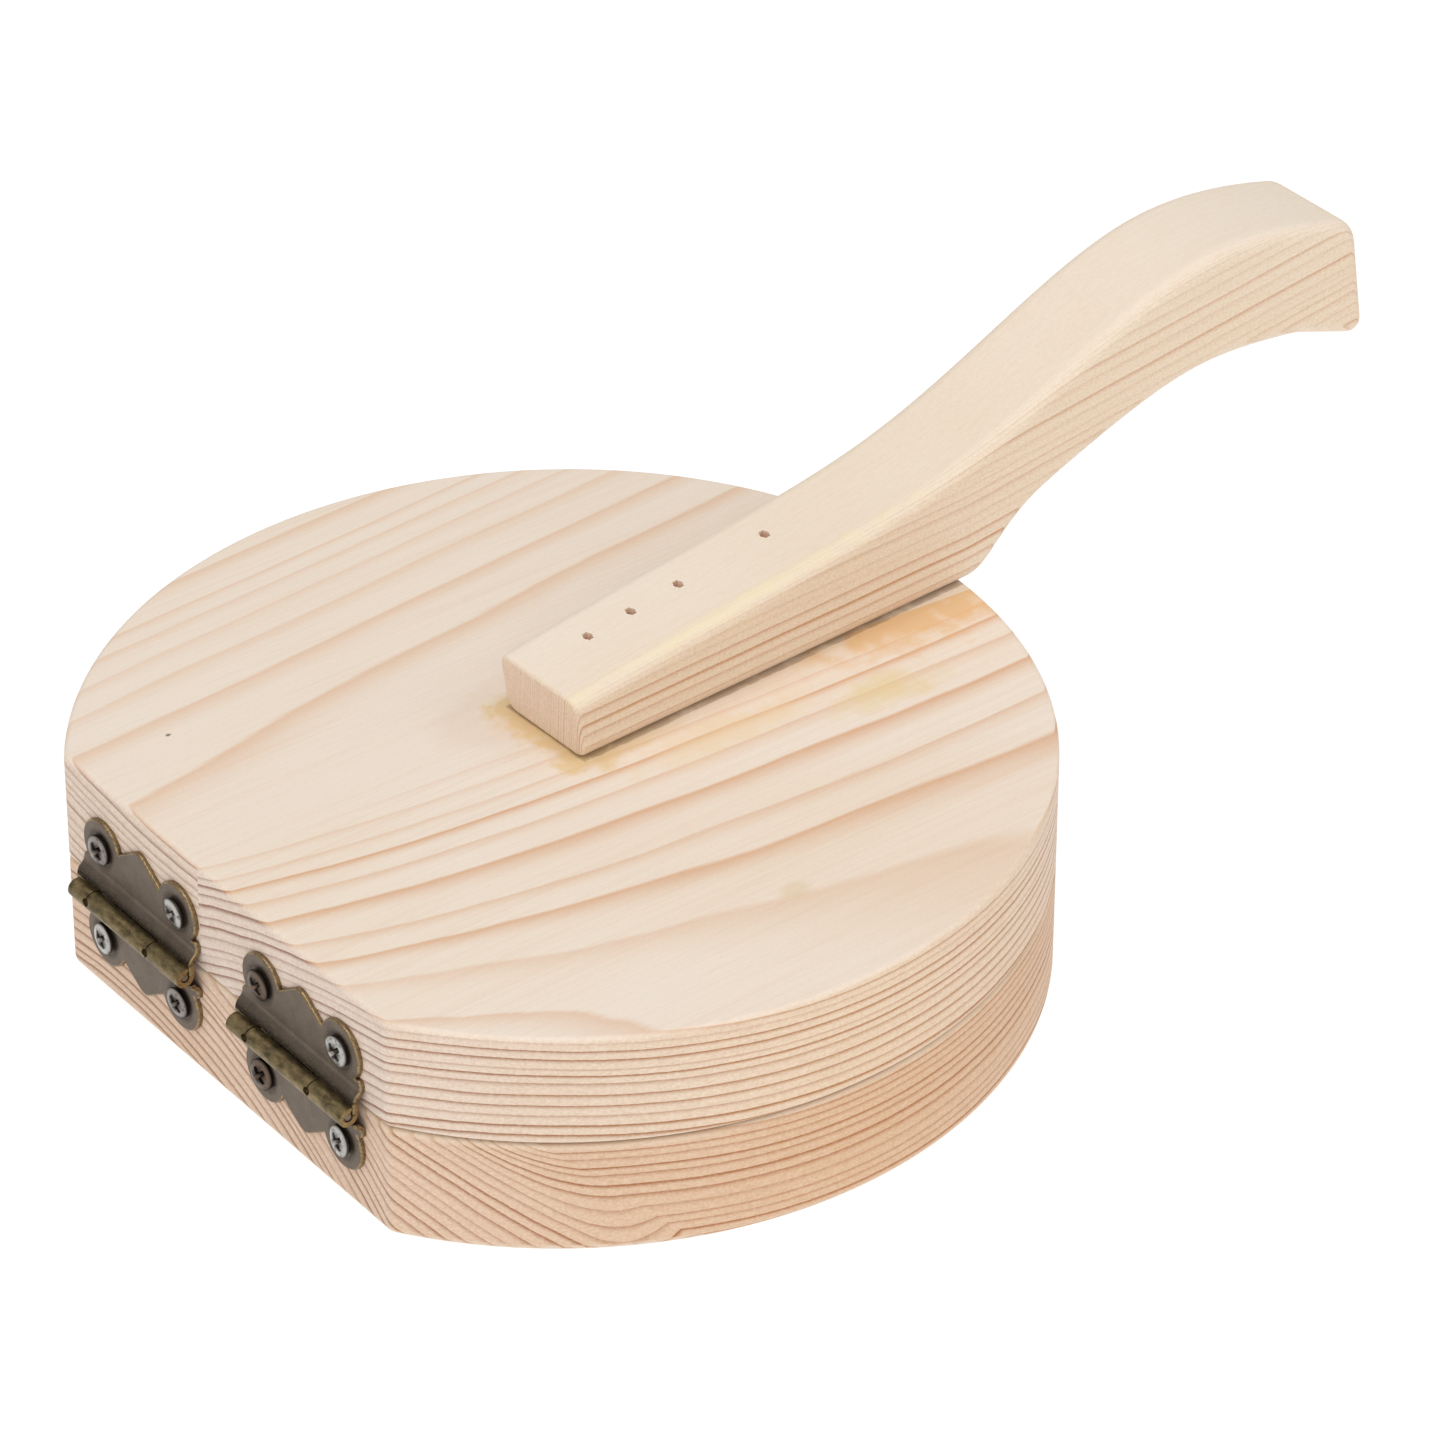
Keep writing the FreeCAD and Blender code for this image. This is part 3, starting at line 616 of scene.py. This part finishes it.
def drive_screws(name, tree, part, up):
    """One plain mesh of all the screws of one board, in place of its CAD screws."""
    stood_for, points, headings, tarnish = [], [], [], []
    for node_name, (about_y, about_z, dullness) in DRIVEN.items():
        if part in node_name:
            middle = HINGE_MIDDLE if "right" in node_name else -HINGE_MIDDLE
            aside = LOBE_OUT if node_name.endswith("1") else -LOBE_OUT
            points.append([c / 1000 for c in (LEAF_FACE_X, middle + aside, PIN_Z + up * LOBE_UP)])
            headings += [0, math.radians(90 + about_y), math.radians(about_z)]
            tarnish.append(dullness)
            stood_for.append(node_name)
    mesh = bpy.data.meshes.new(name + "_places")
    mesh.from_pydata(points, [], [])
    mesh.attributes.new("heading", "FLOAT_VECTOR", "POINT").data.foreach_set("vector", headings)
    mesh.attributes.new("tarnish", "FLOAT", "POINT").data.foreach_set("value", tarnish)
    screws = bpy.data.objects.new(name, mesh)
    bpy.context.scene.collection.objects.link(screws)
    modifier = screws.modifiers.new("screws", "NODES")
    modifier.node_group = tree
    for item in tree.interface.items_tree:
        if item.name in SCREW_SIZES:
            modifier[item.identifier] = SCREW_SIZES[item.name]
    depsgraph = bpy.context.evaluated_depsgraph_get()
    made = bpy.data.meshes.new_from_object(
        screws.evaluated_get(depsgraph), preserve_all_data_layers=True, depsgraph=depsgraph)
    made.name = name
    screws.modifiers.clear()
    screws.data = made
    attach(screws, body_of(nodes[stood_for[0]])[0])
    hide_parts(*stood_for)


screws_tree = screw_tree(plated_screws("zinc_plate_with_tarnish"))
drive_screws("lid_hinge_screws", screws_tree, "lid", 1)
drive_screws("base_hinge_screws", screws_tree, "base", -1)


# ---- Floor, light and camera ----------------------------------------------------------------

def make_stage():
    """A matt pale floor that glows a little, so that it reads as even white. Metres."""
    mesh = bpy.data.meshes.new("floor")
    reach = 6.0
    mesh.from_pydata([(-reach, -reach, 0), (reach, -reach, 0), (reach, reach, 0),
                      (-reach, reach, 0)], [], [(0, 1, 2, 3)])
    floor = bpy.data.objects.new("floor", mesh)
    bpy.context.scene.collection.objects.link(floor)
    material, add = new_material("matte_white_floor")
    paint = add("BsdfDiffuse", {"Color": linear("7c7c7c")})
    glow = add("Emission", {"Color": linear("ffffff"), "Strength": 0.88})
    add("OutputMaterial", {"Surface": add("AddShader", {0: paint, 1: glow})})
    mesh.materials.append(material)


def make_area_light(name, place, target, size, power):
    """A square soft box at a place, in metres, aimed at a target."""
    lamp = bpy.data.lights.new(name, "AREA")
    lamp.size = size
    lamp.energy = power
    light = bpy.data.objects.new(name, lamp)
    light.location = place
    light.rotation_mode = "QUATERNION"
    light.rotation_quaternion = (Vector(target) - Vector(place)).to_track_quat("-Z", "Y")
    bpy.context.scene.collection.objects.link(light)


def make_world(strength):
    """Even white light from all round."""
    world = bpy.data.worlds.new("studio")
    bpy.context.scene.world = world
    world.use_nodes = True
    background = world.node_tree.nodes["Background"]
    background.inputs["Color"].default_value = linear("ffffff")
    background.inputs["Strength"].default_value = strength


def make_camera():
    """A long lens that looks down over the hinges: heading, height and roll, then its place."""
    heading, height, roll = (math.radians(a) for a in (-37.47, 34.931, 0.122))
    back = Vector((math.sin(heading) * math.cos(height), -math.cos(heading) * math.cos(height),
                   math.sin(height)))
    right = Vector((math.cos(heading), math.sin(heading), 0))
    up = back.cross(right)
    turned_right = math.cos(roll) * right + math.sin(roll) * up
    turned_up = -math.sin(roll) * right + math.cos(roll) * up
    place = back * 1.2259 + turned_right * 0.02588 + turned_up * 0.0365
    lens = bpy.data.cameras.new("camera")
    lens.lens = 186.17
    lens.sensor_width = 36
    lens.clip_start = 0.05
    lens.clip_end = 50
    camera = bpy.data.objects.new("camera", lens)
    camera.matrix_world = (Matrix((turned_right, turned_up, back)).transposed().to_4x4())
    camera.location = place
    bpy.context.scene.collection.objects.link(camera)
    bpy.context.scene.camera = camera


make_stage()
make_world(0.5)
make_area_light("key", (-0.25, -0.1, 1.4), (0.02, 0, 0.02), 1.0, 8.4)
make_area_light("fill", (0.9, -0.9, 0.9), (0.02, 0, 0.02), 1.0, 3.6)
make_area_light("front", (-0.9, -0.8, 0.5), (0.02, 0, 0.02), 0.8, 3.4)
make_camera()
bpy.context.scene.view_settings.view_transform = "Standard"
